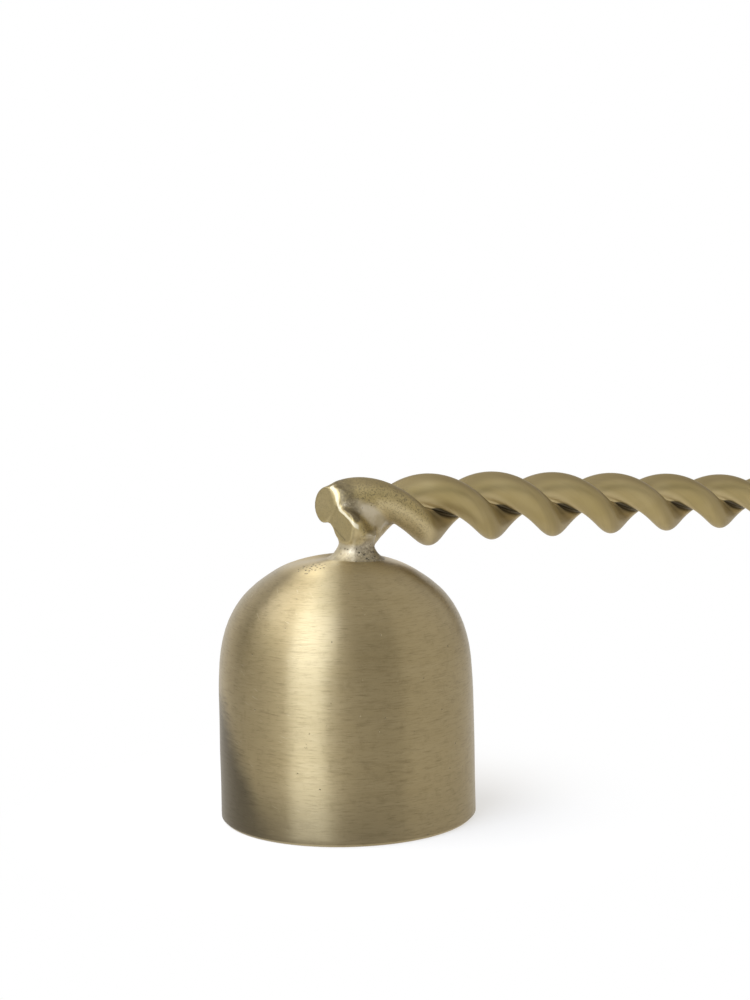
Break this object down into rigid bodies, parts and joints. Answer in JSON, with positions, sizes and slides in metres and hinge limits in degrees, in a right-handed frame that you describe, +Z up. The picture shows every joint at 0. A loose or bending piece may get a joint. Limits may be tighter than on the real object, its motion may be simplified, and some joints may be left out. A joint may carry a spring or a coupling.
{
  "type": "candle snuffer",
  "caption": "Brass candle snuffer: a dome-topped bell, open below, that smothers the flame, brazed under the end of a tapering twisted-rod handle.",
  "frame": {"origin": "centre of the bell's mouth, in the plane of its rim", "axes": "+Z up along the bell's axis, +X along the handle from the bell to the tip"},
  "size_m": [0.1697, 0.04, 0.0529],
  "materials": {
    "bell_brass": "brushed round the bell, satin",
    "rod_brass": "satin, lightly grained near the bell",
    "braze": "satin, pitted at its foot"
  },
  "bodies": {
    "root": {"bell": "bell_brass", "strand_lower": "rod_brass", "strand_upper": "rod_brass", "crown_braze": "braze", "groove_braze_front": "braze", "groove_braze_back": "braze", "tip_braze": "braze"}
  },
  "joints": []
}
